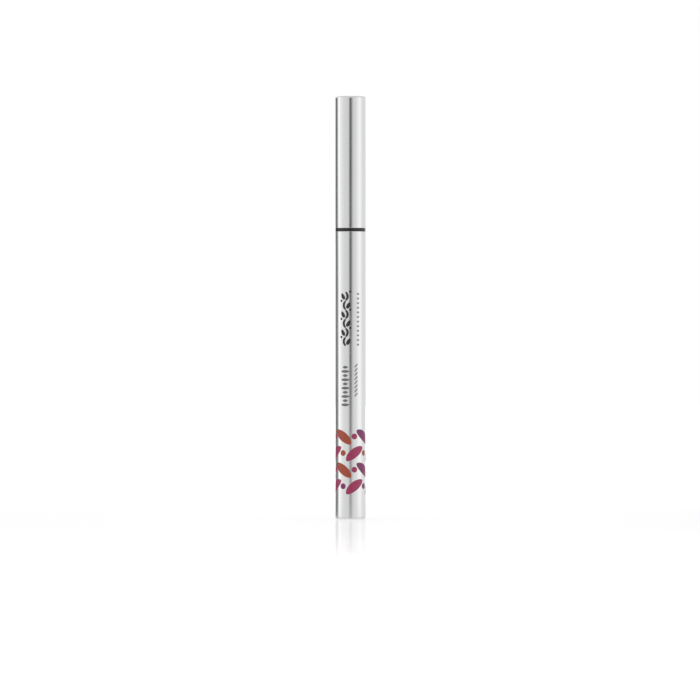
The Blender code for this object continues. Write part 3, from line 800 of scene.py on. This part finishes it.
# Brush: fine black nylon filaments, bonded in the ferrule and ground to a taper, so that the outer ones
# end first and all lean in to the point. A bead of black glue fills the ferrule round them.
filament_count = 280
filament_sides = 4
filament_rows = 10
root_spread = 0.00061
filament_radius = 0.000027
lean = 0.6
taper_power = 1.8
row_power = 0.8
point_power = 6
golden_turn = math.pi * (3 - math.sqrt(5))
glue_under_rim = 0.00015
glue_depth = 0.0012
brush_low, brush_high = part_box("brush_tip")
brush_radius = brush_high.x


def filaments():
    """Grids of all filaments: a sunflower of roots, drawn in towards the axis up the free length.

    At share h of the free length a root at radius r lies at r (1 - lean h^power). The filament ends
    where that radius meets the brush's own outline, radius (1 - h^power), and its thickness shrinks as
    the roots close up and then to a point.
    """
    number = np.arange(filament_count)
    turn = number * golden_turn
    root = root_spread * np.sqrt((number + 0.5) / filament_count)
    end_share = ((brush_radius - root) / (brush_radius - lean * root)) ** (1 / taper_power)
    free = brush_high.z - ferrule_high.z
    along = np.linspace(0, 1, filament_rows) ** row_power
    share = end_share[:, None] * along
    drawn = 1 - lean * share**taper_power
    height = np.hstack([np.full((filament_count, 2), brush_low.z), ferrule_high.z + free * share])
    drawn = np.hstack([np.ones((filament_count, 2)), drawn])
    thick = filament_radius * drawn * np.concatenate([[0, 1], 1 - along**point_power])
    side = np.linspace(0, math.tau, filament_sides, endpoint=False)
    x = (root[:, None] * drawn * np.cos(turn)[:, None])[..., None] + thick[..., None] * np.cos(side)
    y = (root[:, None] * drawn * np.sin(turn)[:, None])[..., None] + thick[..., None] * np.sin(side)
    return np.stack([x, y, np.repeat(height[..., None], filament_sides, 2)], -1)


brush = settled(skin("brush_filaments", filaments()), "brush_tip")
nylon_dark, nylon_light = (0.008, 0.007, 0.007), (0.020, 0.018, 0.018)
nylon_clouds, nylon_grain = (6000, 6000, 300), (36000, 36000, 1800)
finish(brush, "brush_nylon", nylon_dark, nylon_light, nylon_clouds, nylon_grain, (0.28, 0.42), 0.000002)
glue = turned(
    "brush_glue",
    "brush_tip",
    [
        (0, ferrule_high.z - glue_depth, 0),
        (ferrule_bore, ferrule_high.z - glue_depth, 0),
        (ferrule_bore, ferrule_high.z - glue_under_rim, 0.0002),
        (0, ferrule_high.z - glue_under_rim, 0),
    ],
    sides=64,
)
finish(glue, "brush_glue", nylon_dark, nylon_light, (3000,) * 3, (9000,) * 3, (0.15, 0.3), 0.000006)

# Inner cap: a cup of natural polyethylene whose lip is pressed on the nose by the spring, so that the
# brush can't dry. A guide flange runs in the liner, and a boss on top centres the spring.
inner_bore = 0.00265
inner_radius = 0.00315
inner_flange = 0.00365
inner_lip = 0.0016
inner_flange_height = 0.0008
inner_end = 0.0008
boss_radius = 0.0022
boss_height = 0.0010
inner_low, inner_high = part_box("inner_cap")
inner_top = inner_high.z - boss_height
inner_cap = turned(
    "inner_cap_natural",
    "inner_cap",
    [
        (0, inner_top - inner_end, 0),
        (inner_bore, inner_top - inner_end, 0.0004),
        (inner_bore, inner_low.z, 0.0001),
        (inner_radius, inner_low.z, 0.00018),
        (inner_radius, inner_low.z + inner_lip, 0.0001),
        (inner_flange, inner_low.z + inner_lip, 0.00012),
        (inner_flange, inner_low.z + inner_lip + inner_flange_height, 0.00012),
        (inner_radius, inner_low.z + inner_lip + inner_flange_height, 0.0001),
        (inner_radius, inner_top, 0.0003),
        (boss_radius, inner_top, 0.0001),
        (boss_radius, inner_high.z, 0.0002),
        (0, inner_high.z, 0),
    ],
)
natural_plastic(inner_cap, 6.0)

# Spring behind the inner cap: one bright steel wire, wound with an end turn closed at each seat. It
# rides in the cap and shortens as the inner cap is pushed up.
wire_radius = 0.000225
spring_turns = 6.5
closed_pitch = 0.00047
closed_until = 0.9
open_from = 1.5
spring_rows = 400
wire_columns = 12
spring_low, spring_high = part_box("inner_cap_spring")
spring_radius = spring_high.x - wire_radius


def wound_wire():
    """Grid of a tube carried along a helix whose pitch eases from closed to open and back.

    Height is the running sum of the pitch, scaled to the space between the seats. Across, the wire is a
    circle in the plane of the outward direction and of the tangent's cross product with it.
    """
    turned_by = np.linspace(0, spring_turns, spring_rows)
    span = spring_high.z - spring_low.z - 2 * wire_radius
    open_pitch = (span - 2 * closed_pitch) / (spring_turns - closed_until - open_from)
    knots = [closed_until, open_from, spring_turns - open_from, spring_turns - closed_until]
    pitch = np.interp(turned_by, knots, [closed_pitch, open_pitch, open_pitch, closed_pitch])
    height = np.concatenate([[0], np.cumsum((pitch[1:] + pitch[:-1]) / 2)])
    height = spring_low.z + wire_radius + span * height / height[-1]
    angle = math.tau * turned_by
    outward = np.stack([np.cos(angle), np.sin(angle), np.zeros(spring_rows)], -1)
    line = spring_radius * outward + height[:, None] * rise
    tangent = np.gradient(line, axis=0)
    tangent /= np.linalg.norm(tangent, axis=1)[:, None]
    upward = np.cross(tangent, outward)
    side = np.linspace(0, math.tau, wire_columns, endpoint=False)[:, None]
    tube = line[:, None] + wire_radius * (outward[:, None] * np.cos(side) + upward[:, None] * np.sin(side))
    ends = np.repeat(line[[0, -1], None], wire_columns, 1)
    return np.concatenate([ends[:1], tube, ends[1:]])


spring = settled(skin("spring_wire", wound_wire()[None]), "inner_cap_spring")
steel(spring, "spring_steel", (3000,) * 3, (18000,) * 3, (0.18, 0.28), 0.0000015)
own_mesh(spring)

# Cap liner: natural polypropylene, pressed into the cap shell. Its bore takes the neck, with a shallow
# groove for the snap bead, and its ledge stops the inner cap.
liner_bore = 0.0038
liner_groove = 0.0039
ledge_bore = 0.0033
ledge_height = 0.0007
ledge_gap = 0.0001
groove_gap = 0.0001
liner_end = 0.0008
liner_low, liner_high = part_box("cap_liner")
liner_ceiling = liner_high.z - liner_end
ledge_top = inner_low.z + inner_lip - ledge_gap
liner = turned(
    "cap_liner_natural",
    "cap_liner",
    [
        (0, liner_ceiling - boss_height, 0),
        (boss_radius, liner_ceiling - boss_height, 0.0002),
        (boss_radius, liner_ceiling, 0.0001),
        (liner_bore, liner_ceiling, 0.0003),
        (liner_bore, ledge_top, 0.0001),
        (ledge_bore, ledge_top, 0.0001),
        (ledge_bore, ledge_top - ledge_height, 0.0001),
        (liner_bore, ledge_top - ledge_height, 0.0001),
        (liner_bore, bead_middle + bead_half + groove_gap, 0.0006),
        (liner_groove, bead_middle, 0.0006),
        (liner_bore, bead_middle - bead_half - groove_gap, 0.0006),
        (liner_bore, liner_low.z, 0.0002),
        (spigot_radius, liner_low.z, 0.0001),
        (spigot_radius, liner_high.z, 0.0003),
        (0, liner_high.z, 0),
    ],
)
natural_plastic(liner, 7.0)

# Cap shell: silver aluminium like the barrel, deep drawn from one disc, so that its end is closed by a
# small rounded edge. Its mouth is cut square and stands a hair off the black ring.
cap_edge = 0.0006
cap_end = 0.0006
cap_low, cap_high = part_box("cap_shell")
cap = turned(
    "cap_sleeve",
    "cap_shell",
    [
        (0, cap_high.z - cap_end, 0),
        (sleeve_bore, cap_high.z - cap_end, 0.0003),
        (sleeve_bore, cap_low.z, 0.00003),
        (body_radius, cap_low.z, sleeve_edge),
        (body_radius, cap_high.z, cap_edge),
        (0, cap_high.z, 0),
    ],
)
silver(cap, "cap_silver", 7.0)
